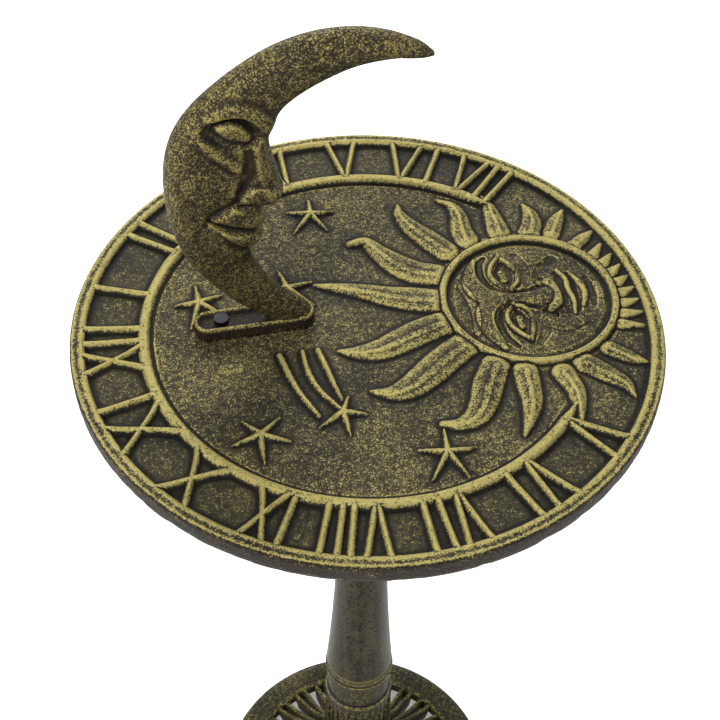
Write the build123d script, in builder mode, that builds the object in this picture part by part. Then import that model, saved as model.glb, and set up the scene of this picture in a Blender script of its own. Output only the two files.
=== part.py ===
from build123d import *
from math import cos, radians, sin
import os

# Cast-iron garden sundial on a turned column.
# Frame: +Z up, origin on the column axis at the underside of the foot ring,
# -X towards the noon mark, +X towards the sun face. Millimetres throughout.

# ---- driving dimensions ----
dial_diameter = 240.0        # over the rim
dial_edge = 9.6              # height of the plate's outer edge
relief_height = 2.5          # rim and relief above the sunk field
rim_width = 5.4
bead_share = 0.755           # radius of the bead round the field, as a share of the plate's
bead_width = 4.2
bead_angles = (43.0, 320.0)  # the bead is open around the sun face
sun_share = (0.572, 0.022)   # the sun's middle, as shares of the plate's radius
sun_ring_share = 0.312
sun_ring_width = 3.4
stroke_width = 3.0           # numeral strokes
star_arm = 10.5
star_arm_width = 1.4
low_relief = 1.6             # stars and rays above the field
boss_radius = 19.0
boss_height = 8.0
spigot_length = 8.0

gnomon_offset = 9.5          # the gnomon stands this far beside the axis
gnomon_thickness = 14.0
foot_length = 49.0
foot_width = 12.0
foot_height = 6.2
foot_centre = -45.0
foot_gap = 0.6
gnomon_root = 1.0            # the moon's lower end is sunk this deep in its foot

column_height = 237.4
column_top_radius = 11.0
column_waist_radius = 11.4
column_foot_radius = 17.2
column_collar = 1.5          # the column's upper end is this much wider
collar_height = 6.0
nut_room = 0.8               # round the nut that the column's bore takes in
socket_radius = 12.1
socket_depth = 12.0

base_radius = 77.8
ring_width = 14.2
ring_height = 8.8
hub_height = 137.0
hub_radius = 17.9
hub_taper = 1.6              # the hub is this much thinner below its lip
lip_height = 6.0
bead_drop = 27.0             # the hub's bead stands this far below its top
bead_size = 1.3
shell = 5.0
web_height = 8.0
slot_count = 28
slot_angle = 5.4             # each slot's width, seen from the axis
slot_start = 2.8
split_angle = 3.0            # a narrower slot splits the bar between two slots
split_share = 0.62           # length of that slot as a share of the wide one's
slot_margin = 1.5            # between the slots and the ring

rod_radius = 4.0
rod_clearance = 0.4
running_clearance = 0.06
seat_clearance = 0.1
nut_flats = 3.25 * rod_radius
nut_height = 6.5
washer_radius = 2 * rod_radius
washer_thickness = 1.6
lock_radius = 1.75 * rod_radius
lock_thickness = 2.0
rod_end = 8.0                # the rod shows this much below its nut
rod_seat = 2.0               # the rod's upper end stands this deep in the plate
screw_radius = 3.0
screw_head_radius = 5.2
screw_head_height = 3.0
screw_spots = (-58.5, -33.0)
screw_rises = (0.8, 4.0)     # the screws' ends above the foot's top
screw_clearance = 0.3

# ---- heights that follow from them ----
boss_face = hub_height + column_height
plate_underside = boss_face + boss_height
dial_top = plate_underside + dial_edge
field = dial_top - relief_height
spigot_end = boss_face - spigot_length
jam_top = spigot_end
web_top = hub_height - socket_depth
web_bottom = web_top - web_height
washer_bottom = web_bottom - washer_thickness
lock_bottom = washer_bottom - lock_thickness
nut_bottom = lock_bottom - nut_height
column_bore = nut_flats / 2 / cos(radians(30)) + nut_room
rod_bottom = nut_bottom - rod_end
rod_top = plate_underside + rod_seat
dial_radius = dial_diameter / 2
rim_inner = dial_radius - rim_width
bead_radius = bead_share * dial_radius
bead_outer = bead_radius + bead_width / 2
sun_centre = (sun_share[0] * dial_radius, sun_share[1] * dial_radius)
sun_ring_radius = sun_ring_share * dial_radius
ring_inner = base_radius - ring_width

os.makedirs("parts", exist_ok=True)

# ---- foot casting: ring, pierced trumpet and socketed hub in one piece ----
waist_radius = hub_radius - hub_taper
bead_height = hub_height - bead_drop
slot_outer = ring_inner - slot_margin
slot_inner = waist_radius + shell / 2
split_outer = slot_outer - 2 * slot_margin
split_inner = split_outer - split_share * (slot_outer - slot_inner)
sweep_width = ring_inner - waist_radius
# the trumpet's line: share of the way out to the ring, share of the hub's height,
# and how far its inner face lies inwards and downwards, in shells
sweep = (
    (0.712, 0.080, 0.4, 0.9), (0.459, 0.135, 0.6, 0.85), (0.226, 0.212, 0.85, 0.6),
    (0.068, 0.365, 1.0, 0.3), (0.0, 0.584, 1.0, 0.3))
outer_face = [(waist_radius + out * sweep_width, up * hub_height) for out, up, _, _ in sweep]
inner_face = [
    (radius - inward * shell, height - down * shell)
    for (radius, height), (_, _, inward, down) in zip(outer_face, sweep)]


def wedge(inner, outer, angle):
    """Corners of a slot that widens outwards."""
    half = radians(angle / 2)
    return [
        (radius * cos(half), side * radius * sin(half))
        for radius, side in ((inner, -1), (outer, -1), (outer, 1), (inner, 1))]


with BuildPart() as base_casting:
    with BuildSketch(Plane.XZ):
        with BuildLine():
            ring = Polyline(
                (ring_inner, 0), (base_radius, 0), (base_radius, ring_height - 2.4),
                (base_radius - 2.4, ring_height), (ring_inner, ring_height + 0.8))
            trumpet = Spline(ring @ 1, *outer_face, tangents=((-1, 0.2), (0, 1)))
            collar = Polyline(
                trumpet @ 1, (waist_radius, bead_height - 1.5 * bead_size),
                (waist_radius + bead_size, bead_height), (waist_radius, bead_height + 1.5 * bead_size),
                (waist_radius, hub_height - lip_height - hub_taper), (hub_radius, hub_height - lip_height),
                (hub_radius, hub_height - 1), (hub_radius - 1, hub_height), (socket_radius, hub_height),
                (socket_radius, web_top), (rod_radius + rod_clearance, web_top),
                (rod_radius + rod_clearance, web_bottom), (waist_radius - shell, web_bottom),
                inner_face[-1])
            inside = Spline(
                collar @ 1, *inner_face[-2::-1], (ring_inner, ring_height / 3),
                tangents=((0, -1), (1, -0.2)))
            Line(inside @ 1, ring @ 0)
        make_face()
    revolve(axis=Axis.Z)
    # slots leave pairs of thin ribs between the ring and the hub
    with BuildSketch(Plane.XY):
        with PolarLocations(0, slot_count, start_angle=slot_start):
            Polygon(*wedge(slot_inner, slot_outer, slot_angle), align=None)
        with PolarLocations(0, slot_count, start_angle=slot_start + 180 / slot_count):
            Polygon(*wedge(split_inner, split_outer, split_angle), align=None)
    extrude(amount=web_bottom, mode=Mode.SUBTRACT)
base_casting.part.label = "base_casting"

# ---- hollow column, flared towards the hub, with a spigot in its socket ----
spigot_bottom = web_top + seat_clearance
with BuildPart() as column:
    with BuildSketch(Plane.XZ):
        with BuildLine():
            foot = Polyline(
                (column_bore, spigot_bottom), (socket_radius - seat_clearance, spigot_bottom),
                (socket_radius - seat_clearance, hub_height), (column_foot_radius, hub_height),
                (column_foot_radius, hub_height + 2))
            side = Spline(
                foot @ 1, (column_foot_radius - 3.8, hub_height + column_height * 0.26),
                (column_waist_radius, hub_height + column_height * 0.5),
                (column_top_radius, hub_height + column_height * 0.85),
                tangents=((-0.07, 1), (0, 1)))
            Polyline(
                side @ 1, (column_top_radius + column_collar, boss_face - collar_height),
                (column_top_radius + column_collar, boss_face),
                (column_bore, boss_face), foot @ 0)
        make_face()
    revolve(axis=Axis.Z)
column.part.label = "column"

# ---- dial plate ----
numeral_inner = bead_outer - 1
numeral_outer = rim_inner + 1
# the hours from V to VII: each letter, its angle about the axis and half its spread
letters = (
    ("V", -45, 5.8), ("V", -62, 5.2), ("I", -68.3, 0), ("V", -81.3, 4.5), ("I", -86, 0), ("I", -89.6, 0),
    ("V", -100.1, 4.6), ("I", -105.2, 0), ("I", -107.7, 0), ("I", -110.9, 0), ("I", -118.8, 0),
    ("X", -123.9, 4.6), ("X", -141.2, 7), ("X", -158.7, 7.4), ("I", -166.8, 0), ("X", 180.2, 5.2),
    ("I", 174.6, 0), ("I", 170.4, 0), ("I", 158.3, 0), ("I", 141.4, 0), ("I", 137.2, 0),
    ("I", 125.4, 0), ("I", 122, 0), ("I", 118.6, 0), ("I", 106.6, 0), ("V", 101.1, 5.6),
    ("V", 84.3, 6.2), ("V", 69.1, 6.6), ("I", 61.9, 0), ("V", 52.8, 5.8), ("I", 47.4, 0), ("I", 43.9, 0))
# middles of the stars, and the sun's rays as tip, foot and width, in hundredths of the plate's radius
stars = ((-9, 59), (-55, 21), (-24, 22), (-16, -36), (-43, -40), (13, -58))
rays = (
    ((-13, 22), (23, 8), 10), ((3, 41), (27, 21), 8), ((22, 57), (32, 28), 8),
    ((38, 57), (41, 35), 7), ((55, 56), (57, 38), 7), ((68, 48), (68, 35), 7),
    ((78, -47), (64, -32), 8), ((59, -52), (57, -32), 6), ((39, -54), (44, -30), 7),
    ((15, -47), (36, -27), 9), ((-5, -29), (25, -17), 10), ((-12, -10), (22, -4), 10))


def strokes(letter, spread):
    """Ends of a letter's strokes: sideways at the inner end, sideways at the outer end."""
    return {
        "I": [(0, 0)],
        "V": [(stroke_width / 5, spread), (-stroke_width / 5, -spread)],
        "X": [(-spread, spread), (spread, -spread)]}[letter]


with BuildPart() as dial_plate:
    with BuildSketch(Plane.XY.offset(plate_underside)):
        Circle(dial_radius)
    extrude(amount=field - plate_underside)
    with BuildSketch(Plane.XY.offset(field)):
        Circle(dial_radius)
        Circle(rim_inner, mode=Mode.SUBTRACT)
        # bead, open towards the sun face
        with BuildLine():
            opening = CenterArc((0, 0), bead_radius, bead_angles[0], bead_angles[1] - bead_angles[0])
        trace(opening, line_width=bead_width)
        with Locations(sun_centre):
            Circle(sun_ring_radius)
            Circle(sun_ring_radius - sun_ring_width, mode=Mode.SUBTRACT)
        for letter, angle, spread in letters:
            for inner_end, outer_end in strokes(letter, spread):
                with BuildLine(Plane.XY.rotated((0, 0, angle))):
                    stroke = Line((numeral_inner, inner_end), (numeral_outer, outer_end))
                trace(stroke, line_width=stroke_width)
    extrude(amount=relief_height)
    with BuildSketch(Plane.XY.offset(field)):
        for star in stars:
            centre = Vector(*star) * dial_radius / 100
            for number in range(5):
                turn = radians(90 + 72 * number)
                with BuildLine():
                    arm = Line(centre, centre + Vector(cos(turn), sin(turn)) * star_arm)
                trace(arm, line_width=star_arm_width)
        for tip_share, root_share, width_share in rays:
            tip = Vector(*tip_share) * dial_radius / 100
            root = Vector(*root_share) * dial_radius / 100
            along = root - tip
            across = Vector(-along.Y, along.X).normalized() * width_share * dial_radius / 200
            middle = tip + along * 0.7
            Polygon(tip, middle - across, root, middle + across, align=None)
        # the relief stops short of the gnomon's foot
        with Locations((foot_centre, gnomon_offset)):
            SlotOverall(foot_length + foot_gap, foot_width + foot_gap, mode=Mode.SUBTRACT)
    extrude(amount=low_relief)
    # boss and spigot that turn on the column
    with BuildSketch(Plane.XY.offset(boss_face)):
        Circle(boss_radius)
    extrude(amount=boss_height)
    with BuildSketch(Plane.XY.offset(spigot_end)):
        Circle(column_bore - running_clearance)
    extrude(amount=spigot_length)
    with Locations((0, 0, spigot_end)):
        Cylinder(
            rod_radius + seat_clearance, rod_top - spigot_end,
            align=(Align.CENTER, Align.CENTER, Align.MIN), mode=Mode.SUBTRACT)
    for spot in screw_spots:
        with Locations((spot, gnomon_offset, plate_underside)):
            Cylinder(
                screw_radius + screw_clearance, 3 * dial_edge,
                align=(Align.CENTER, Align.CENTER, Align.CENTER), mode=Mode.SUBTRACT)
dial_plate.part.label = "dial_plate"

# ---- crescent gnomon with a face in profile, standing on a long foot ----
foot_top = foot_height - relief_height
root_height = foot_top - gnomon_root
# points along the moon's back, down from its tip, and along its face, up from the foot
moon_back = (
    (22.0, 124.5), (16, 128.5), (-6, 136), (-34.5, 132), (-54.5, 119), (-67.5, 106),
    (-74.5, 88), (-76, 68), (-72.5, 49), (-61, 25.5), (-46, 8.5))
moon_face = (
    (-23, 7.5), (-33.5, 16.5), (-41.5, 30), (-45, 43.5), (-42.5, 46.2), (-40.2, 49), (-40.8, 53.5),
    (-38.2, 57.5), (-40, 62), (-41, 63.8), (-35, 64.8), (-32, 69), (-34.2, 80), (-36.6, 93.5),
    (-33, 103), (-31, 107.4), (-21.6, 114.4), (-5.3, 121.5), (10, 122.8), (21, 121.2))
moon_tip = (23.2, 122.6)
with BuildPart() as gnomon:
    with BuildSketch(Plane.XZ.offset(-gnomon_offset)):
        with BuildLine():
            back = Spline(*moon_back, (-42, root_height))
            heel = Line(back @ 1, (moon_face[0][0], root_height))
            face = Spline(heel @ 1, *moon_face)
            ThreePointArc(face @ 1, moon_tip, back @ 0)
        make_face()
    extrude(amount=gnomon_thickness / 2, both=True)
    with BuildSketch(Plane.XY.offset(-relief_height)):
        with Locations((foot_centre, gnomon_offset)):
            SlotOverall(foot_length, foot_width)
    extrude(amount=foot_height)
    for spot, rise in zip(screw_spots, screw_rises):
        with Locations((spot, gnomon_offset, -relief_height)):
            Cylinder(
                screw_radius + seat_clearance, foot_height + rise + screw_clearance,
                align=(Align.CENTER, Align.CENTER, Align.MIN), mode=Mode.SUBTRACT)
gnomon.part.label = "gnomon"
gnomon.part.position = (0, 0, dial_top)

# ---- screws that hold the gnomon from below, one showing through its foot ----
with BuildPart() as gnomon_screws:
    for spot, rise in zip(screw_spots, screw_rises):
        with Locations((spot, gnomon_offset, plate_underside - washer_thickness)):
            Cylinder(
                screw_head_radius, screw_head_height,
                align=(Align.CENTER, Align.CENTER, Align.MAX))
            Cylinder(
                screw_radius, dial_edge + foot_top + rise + washer_thickness,
                align=(Align.CENTER, Align.CENTER, Align.MIN))
gnomon_screws.part.label = "gnomon_screws"

with BuildPart() as gnomon_washers:
    with BuildSketch(Plane.XY.offset(plate_underside - washer_thickness)):
        for spot in screw_spots:
            with Locations((spot, gnomon_offset)):
                Circle(screw_head_radius + 1.3)
                Circle(screw_radius + seat_clearance, mode=Mode.SUBTRACT)
    extrude(amount=washer_thickness)
gnomon_washers.part.label = "gnomon_washers"

# ---- tie rod with its nuts and washers ----
with BuildPart() as tie_rod:
    with BuildSketch(Plane.XY.offset(rod_bottom)):
        Circle(rod_radius)
    extrude(amount=rod_top - rod_bottom)
    chamfer(tie_rod.faces().sort_by(Axis.Z)[0].edges(), 0.8)
tie_rod.part.label = "tie_rod"


def hex_nut(bottom):
    with BuildPart() as nut:
        with BuildSketch(Plane.XY.offset(bottom)):
            RegularPolygon(nut_flats / 2, 6, major_radius=False)
            Circle(rod_radius + seat_clearance, mode=Mode.SUBTRACT)
        extrude(amount=nut_height)
    return nut.part


def washer(bottom, outer_radius, thickness):
    with BuildPart() as ring_part:
        with BuildSketch(Plane.XY.offset(bottom)):
            Circle(outer_radius)
            Circle(rod_radius + seat_clearance, mode=Mode.SUBTRACT)
        extrude(amount=thickness)
    return ring_part.part


jam_nut = hex_nut(jam_top - nut_height)
base_nut = hex_nut(nut_bottom)
lock_washer = washer(lock_bottom, lock_radius, lock_thickness)
base_washer = washer(washer_bottom, washer_radius, washer_thickness)
jam_nut.label = "jam_nut"
base_nut.label = "base_nut"
lock_washer.label = "lock_washer"
base_washer.label = "base_washer"

export_step(base_casting.part, "parts/base_casting.step")
export_step(column.part, "parts/column.step")
export_step(dial_plate.part, "parts/dial_plate.step")
export_step(gnomon.part, "parts/gnomon.step")
export_step(gnomon_screws.part, "parts/gnomon_screws.step")
export_step(gnomon_washers.part, "parts/gnomon_washers.step")
export_step(tie_rod.part, "parts/tie_rod.step")
export_step(jam_nut, "parts/jam_nut.step")
export_step(base_nut, "parts/base_nut.step")
export_step(lock_washer, "parts/lock_washer.step")
export_step(base_washer, "parts/base_washer.step")
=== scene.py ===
import math

import bpy
import numpy as np
from mathutils import Matrix, Vector, noise


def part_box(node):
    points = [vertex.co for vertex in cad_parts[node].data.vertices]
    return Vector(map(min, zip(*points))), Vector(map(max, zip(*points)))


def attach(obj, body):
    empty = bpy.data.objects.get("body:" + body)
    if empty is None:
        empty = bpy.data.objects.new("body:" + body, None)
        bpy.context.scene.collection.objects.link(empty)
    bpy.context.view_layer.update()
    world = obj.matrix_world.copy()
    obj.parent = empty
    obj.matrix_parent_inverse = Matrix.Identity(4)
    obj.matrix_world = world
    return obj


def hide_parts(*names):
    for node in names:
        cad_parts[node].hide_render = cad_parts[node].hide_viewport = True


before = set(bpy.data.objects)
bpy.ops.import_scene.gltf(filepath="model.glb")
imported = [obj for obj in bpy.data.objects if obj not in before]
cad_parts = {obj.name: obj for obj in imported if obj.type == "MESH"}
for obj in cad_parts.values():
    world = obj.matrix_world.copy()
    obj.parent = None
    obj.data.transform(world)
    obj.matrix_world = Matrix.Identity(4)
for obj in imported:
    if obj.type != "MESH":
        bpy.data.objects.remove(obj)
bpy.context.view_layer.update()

MM = 0.001


# ---------------------------------------------------------------------------
# Studio: a plain white floor, a soft overhead light and a fill, and a camera
# that looks down on the dial from its morning side.
rim_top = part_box("dial_plate")[1].z

bpy.ops.object.select_all(action="DESELECT")
bpy.ops.mesh.primitive_plane_add(size=12, location=(0, 0, 0))
floor = bpy.context.object
floor.name = "floor"
paper = bpy.data.materials.new("floor_white")
paper.use_nodes = True
paper_shader = paper.node_tree.nodes["Principled BSDF"]
paper_shader.inputs["Base Color"].default_value = (0.93, 0.93, 0.93, 1)
paper_shader.inputs["Roughness"].default_value = 0.9
paper_shader.inputs["Specular IOR Level"].default_value = 0.1
paper_shader.inputs["Emission Color"].default_value = (1, 1, 1, 1)
paper_shader.inputs["Emission Strength"].default_value = 0.3
floor.data.materials.append(paper)

camera_data = bpy.data.cameras.new("camera")
camera_data.lens = 74.8
camera_data.sensor_width = 36
camera_data.clip_end = 50
camera = bpy.data.objects.new("camera", camera_data)
bpy.context.scene.collection.objects.link(camera)
heading = math.radians(12.81)
tilt_down = math.radians(47.51)
roll = math.radians(1.26)
forward = Vector((
    math.sin(heading) * math.cos(tilt_down),
    math.cos(heading) * math.cos(tilt_down),
    -math.sin(tilt_down)))
level_right = Vector((math.cos(heading), -math.sin(heading), 0))
level_up = level_right.cross(forward)
right = level_right * math.cos(roll) + level_up * math.sin(roll)
up = level_up * math.cos(roll) - level_right * math.sin(roll)
camera.matrix_world = Matrix.Translation((-0.0962, -0.4094, rim_top + 0.4362)) @ Matrix(
    (right, up, -forward)).transposed().to_4x4()
bpy.context.scene.camera = camera

for name, place, size, power in (
        ("key_light", (-0.75, -0.55, 1.35), 0.4, 20),
        ("fill_light", (1.0, -0.5, 1.3), 1.4, 6),
        ("rim_light", (0.1, 1.2, 1.1), 0.7, 16)):
    bpy.ops.object.light_add(type="AREA", location=place)
    light = bpy.context.object
    light.name = name
    light.data.size = size
    light.data.energy = power
    light.rotation_euler = (Vector((0, 0, 0.35)) - Vector(place)).to_track_quat("-Z", "Y").to_euler()

world = bpy.data.worlds.new("studio")
world.use_nodes = True
world.node_tree.nodes["Background"].inputs["Color"].default_value = (1, 1, 1, 1)
world.node_tree.nodes["Background"].inputs["Strength"].default_value = 0.5
bpy.context.scene.world = world
bpy.context.scene.view_settings.view_transform = "Standard"


# ---------------------------------------------------------------------------
# Foot casting: one iron piece, a heavy ring on the ground, thin ribs that
# sweep up from it like a trumpet, and a fluted hub with the column's socket.

def soften(field, passes, closed):
    """The average of a lattice of points with its neighbours, wider with more passes."""
    for _ in range(passes):
        for axis in (0, 1):
            if closed[axis]:
                before = np.roll(field, 1, axis)
                after = np.roll(field, -1, axis)
            else:
                padded = np.concatenate((
                    field.take([0], axis), field, field.take([-1], axis)), axis)
                count = field.shape[axis]
                before = padded.take(range(count), axis)
                after = padded.take(range(2, count + 2), axis)
            field = field * 0.5 + (before + after) * 0.25
    return field


def facing(grid, closed):
    """Unit normals of a lattice of points."""
    ways = []
    for axis in (0, 1):
        if closed[axis]:
            ways.append(np.roll(grid, -1, axis) - np.roll(grid, 1, axis))
        else:
            ways.append(np.gradient(grid, axis=axis))
    normal = np.cross(ways[0], ways[1])
    length = np.linalg.norm(normal, axis=2, keepdims=True)
    return normal / np.maximum(length, 1e-9)


def lattice(
        name, grid, closed, outward, gains=(2.2, 0.8), spans=(3, 16), keep=None, extra=None, upper=None):
    """A surface through a lattice of points in millimetres, with how worn each point is.

    The wear is worked out on the upper rows alone where their number is given.
    """
    count, rows = grid.shape[:2]
    normal = facing(grid, closed)
    sign = 1.0 if float((normal * outward(grid)).sum()) > 0 else -1.0
    seen = grid[:, :upper]
    ways = (closed[0], closed[1] and upper is None)
    outwards = facing(seen, ways) * sign
    worn = np.full((count, rows), 0.5)
    worn[:, :upper] -= sum(
        gain * ((soften(seen, span, ways) - seen) * outwards).sum(2) for gain, span in zip(gains, spans))
    worn = np.clip(worn, 0, 1)
    across = np.arange(count if closed[0] else count - 1)
    along = np.arange(rows if closed[1] else rows - 1)
    a, b = np.meshgrid(across, along, indexing="ij")
    a2, b2 = (a + 1) % count, (b + 1) % rows
    corners = np.stack((a * rows + b, a2 * rows + b, a2 * rows + b2, a * rows + b2), -1)
    if sign < 0:
        corners = corners[..., ::-1]
    if keep is not None:
        wanted = keep[a, b] | keep[a2, b] | keep[a2, b2] | keep[a, b2]
        corners = corners[wanted]
    corners = corners.reshape(-1, 4)
    mesh = bpy.data.meshes.new(name)
    mesh.vertices.add(count * rows)
    mesh.vertices.foreach_set("co", (grid.reshape(-1, 3) * MM).astype(np.float32).ravel())
    mesh.loops.add(corners.size)
    mesh.loops.foreach_set("vertex_index", corners.astype(np.int32).ravel())
    mesh.polygons.add(len(corners))
    mesh.polygons.foreach_set("loop_start", np.arange(0, corners.size, 4, dtype=np.int32))
    mesh.polygons.foreach_set("loop_total", np.full(len(corners), 4, np.int32))
    mesh.update(calc_edges=True)
    values = {"worn": worn}
    values.update(extra or {})
    for label, value in values.items():
        attribute = mesh.attributes.new(label, "FLOAT", "POINT")
        attribute.data.foreach_set("value", value.astype(np.float32).ravel())
    mesh.validate()
    piece = bpy.data.objects.new(name, mesh)
    bpy.context.scene.collection.objects.link(piece)
    bpy.ops.object.select_all(action="DESELECT")
    piece.select_set(True)
    bpy.context.view_layer.objects.active = piece
    bpy.ops.object.mode_set(mode="EDIT")
    bpy.ops.mesh.select_all(action="SELECT")
    bpy.ops.mesh.delete_loose()
    bpy.ops.mesh.select_all(action="SELECT")
    bpy.ops.mesh.remove_doubles(threshold=1e-6)
    bpy.ops.object.mode_set(mode="OBJECT")
    bpy.ops.object.shade_smooth()
    return piece


def curve(points, count):
    """A smooth line through the points, evenly stepped from knot to knot."""
    points = np.array(points, float)
    ends = np.vstack((2 * points[0] - points[1], points, 2 * points[-1] - points[-2]))
    place = np.linspace(0, len(points) - 1, count)
    knot = np.minimum(place.astype(int), len(points) - 2)
    t = (place - knot)[:, None]
    p0, p1, p2, p3 = (ends[knot + k] for k in range(4))
    return 0.5 * (
        2 * p1 + (p2 - p0) * t + (2 * p0 - 5 * p1 + 4 * p2 - p3) * t ** 2
        + (3 * p1 - p0 - 3 * p2 + p3) * t ** 3)


def evenly(points, step):
    """Points along a line of straight runs at about even steps, its corners kept."""
    points = np.array(points, float)
    result = []
    for start, end in zip(points, points[1:]):
        steps = max(1, int(round(np.linalg.norm(end - start) / step)))
        result += [start + (end - start) * k / steps for k in range(steps)]
    return np.array(result + [points[-1]])


def turned(profile, turns):
    """A lattice turned about the column's axis from a profile of radius and height."""
    angle = np.linspace(0, 2 * math.pi, turns, endpoint=False)[:, None]
    return np.stack((
        profile[None, :, 0] * np.cos(angle), profile[None, :, 0] * np.sin(angle),
        np.broadcast_to(profile[None, :, 1], (turns, len(profile)))), -1)


def from_axis(grid):
    """Directions away from the column's axis."""
    return grid * np.array((1, 1, 0))


class Tap:
    """A socket of a material that can be added to, multiplied and fed to any other node."""

    def __init__(self, tree, socket):
        self.tree = tree
        self.socket = socket

    def _link(self, target, value):
        if isinstance(value, Tap):
            self.tree.links.new(value.socket, target)
        else:
            target.default_value = value

    def node(self, kind, settings=(), output=0, **inputs):
        made = self.tree.nodes.new(kind)
        for label, value in settings:
            setattr(made, label, value)
        for label, value in inputs.items():
            socket = int(label[1:]) if label[1:].isdigit() else label.replace("_", " ")
            self._link(made.inputs[socket], value)
        return Tap(self.tree, made.outputs[output])

    def maths(self, operation, *others):
        made = self.tree.nodes.new("ShaderNodeMath")
        made.operation = operation
        for place, value in enumerate((self,) + others):
            self._link(made.inputs[place], value)
        return Tap(self.tree, made.outputs[0])

    def __add__(self, other):
        return self.maths("ADD", other)

    def __sub__(self, other):
        return self.maths("SUBTRACT", other)

    def __rsub__(self, other):
        return (self * -1.0) + other

    def __mul__(self, other):
        return self.maths("MULTIPLY", other)

    __radd__ = __add__
    __rmul__ = __mul__

    def between(self, low, high):
        """0 at low, 1 at high, with soft ends."""
        return self.node(
            "ShaderNodeMapRange", (("interpolation_type", "SMOOTHSTEP"),),
            Value=self, From_Min=low, From_Max=high)

    def blend(self, first, second):
        """A colour that goes from the first to the second as this goes from 0 to 1."""
        made = self.tree.nodes.new("ShaderNodeMix")
        made.data_type = "RGBA"
        self._link(made.inputs[0], self)
        self._link(made.inputs[6], first)
        self._link(made.inputs[7], second)
        return Tap(self.tree, made.outputs[2])


def new_material(name):
    """A material's shader node, its object coordinates and its way in for more nodes."""
    material = bpy.data.materials.new(name)
    material.use_nodes = True
    tree = material.node_tree
    shader = tree.nodes["Principled BSDF"]
    place = Tap(tree, tree.nodes.new("ShaderNodeTexCoord").outputs["Object"])
    return material, shader, place


def brushed_iron(name, dark, earth, gold, lift, grain, depth, panels_and_shade=False):
    """Cast iron under a dark patina, with old gold rubbed over its grain and edges."""
    material, shader, place = new_material(name)
    tree = place.tree
    worn = place.node("ShaderNodeAttribute", (("attribute_name", "worn"),), output=2)
    sand = place.node("ShaderNodeTexNoise", Vector=place, Scale=grain, Detail=2.0, Roughness=0.6)
    clump = place.node("ShaderNodeTexNoise", Vector=place, Scale=grain * 0.36, Detail=2.0)
    cloud = place.node("ShaderNodeTexNoise", Vector=place, Scale=38.0, Detail=3.0)
    rubbed = sand * 2.1 + clump * 0.7 + cloud * 0.4 + worn * 1.1 - (2.32 - lift)
    crevice = worn.between(0.1, 0.48)
    if panels_and_shade:
        # This attribute darkens the colour: on the dial it marks the bare panels that hold no gold, on the
        # gnomon's foot it is painted shade.
        bare_and_shade = place.node("ShaderNodeAttribute", (("attribute_name", "bare_and_shade"),), output=2)
        rubbed = rubbed - bare_and_shade * 0.09
        dark = bare_and_shade.between(2, 5).blend(dark, (0.010, 0.0065, 0.0032, 1))
        earth = bare_and_shade.between(2, 5).blend(earth, (0.022, 0.0145, 0.0075, 1))
    fleck = rubbed.between(-0.16, 0.34) * crevice.maths("MAXIMUM", 0.05)
    tone = (clump * 0.7 + cloud * 0.6).between(0.4, 0.9)
    ground = tone.blend(dark, earth)
    base = fleck.blend(ground, gold)
    shade = crevice.blend((0.22, 0.2, 0.19, 1), (1, 1, 1, 1))
    colour = place.node(
        "ShaderNodeMix", (("data_type", "RGBA"), ("blend_type", "MULTIPLY")), output=2,
        _0=1.0, _6=base, _7=shade)
    tree.links.new(colour.socket, shader.inputs["Base Color"])
    shader.inputs["Specular IOR Level"].default_value = 0.2
    tree.links.new((fleck * 0.5 + 0.3).socket, shader.inputs["Metallic"])
    tree.links.new((cloud * 0.16 - fleck * 0.1 + 0.5).socket, shader.inputs["Roughness"])
    height = sand * 1.0 + clump * 0.9
    bump = place.node("ShaderNodeBump", Height=height, Strength=1.0, Distance=depth)
    tree.links.new(bump.socket, shader.inputs["Normal"])
    return material


base_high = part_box("base_casting")[1]
base_radius = base_high.x / MM
ring_width = 14.2
ring_height = 8.8
ring_inner = base_radius - ring_width
hub_top = base_high.z / MM
hub_radius = 17.9
waist = hub_radius - 1.6
bead_height = hub_top - 27
socket_radius, socket_depth = 12.1, 12
rod_hole = 4.4

ring_profile = evenly([
    (ring_inner, 0.3), (ring_inner - 1.5, 1.5), (ring_inner - 2.6, 4), (ring_inner - 2.7, 8.6),
    (ring_inner - 1.9, 9.7), (ring_inner - 0.2, 9.9), (ring_inner + 1.4, 9.3),
    (ring_inner + 7, 9.3), (base_radius - 4, ring_height), (base_radius - 1.6, 7.6),
    (base_radius - 0.4, 5.8), (base_radius, 3.5), (base_radius, 0.6), (base_radius - 0.6, 0),
    (ring_inner, 0)], 0.75)
ring_middle = base_radius - ring_width / 2
foot_ring = lattice("foot_ring", turned(ring_profile, 420), (True, True), lambda grid: (
    grid - np.array((ring_middle, ring_middle, ring_height / 2)) * np.stack((
        grid[..., 0] / np.hypot(grid[..., 0], grid[..., 1]),
        grid[..., 1] / np.hypot(grid[..., 0], grid[..., 1]), np.ones(grid.shape[:2])), -1)),
    gains=(0.5, 0.25), spans=(2, 8))

# the ribs: two thin blades to each petal, joined at both ends, then one up the hub
petal_count = 28
first_petal = math.radians(2.8)
blade_depth = 13
sweep = curve([
    (ring_inner + 1.0, 7.6), (57, 9.4), (50, 11.6), (44, 14.6), (38, 18.8), (32, 23.6), (27, 29.2),
    (22.6, 37.5), (19.6, 49), (17.9, 62), (17.0, 78), (16.6, 98)], 110)
slope = np.gradient(sweep, axis=0)
slope /= np.linalg.norm(slope, axis=1, keepdims=True)
upright = np.stack((slope[:, 1], -slope[:, 0]), -1)
half_width = np.interp(sweep[:, 0], (16.6, 22, 34, ring_inner), (0.8, 1.0, 1.15, 1.3))
split = np.interp(sweep[:, 0], (30, 33, 38, 56, 60.5, 62, 63.4), (0, 0.7, 1.5, 2.7, 2.9, 2.5, 1.6))
section = np.array([
    (-1, -blade_depth), (-1, -4), (-1, 0.2), (-0.78, 0.9), (-0.3, 1.3), (0.3, 1.3), (0.78, 0.9), (1, 0.2),
    (1, -4), (1, -blade_depth)])
petal = []
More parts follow.
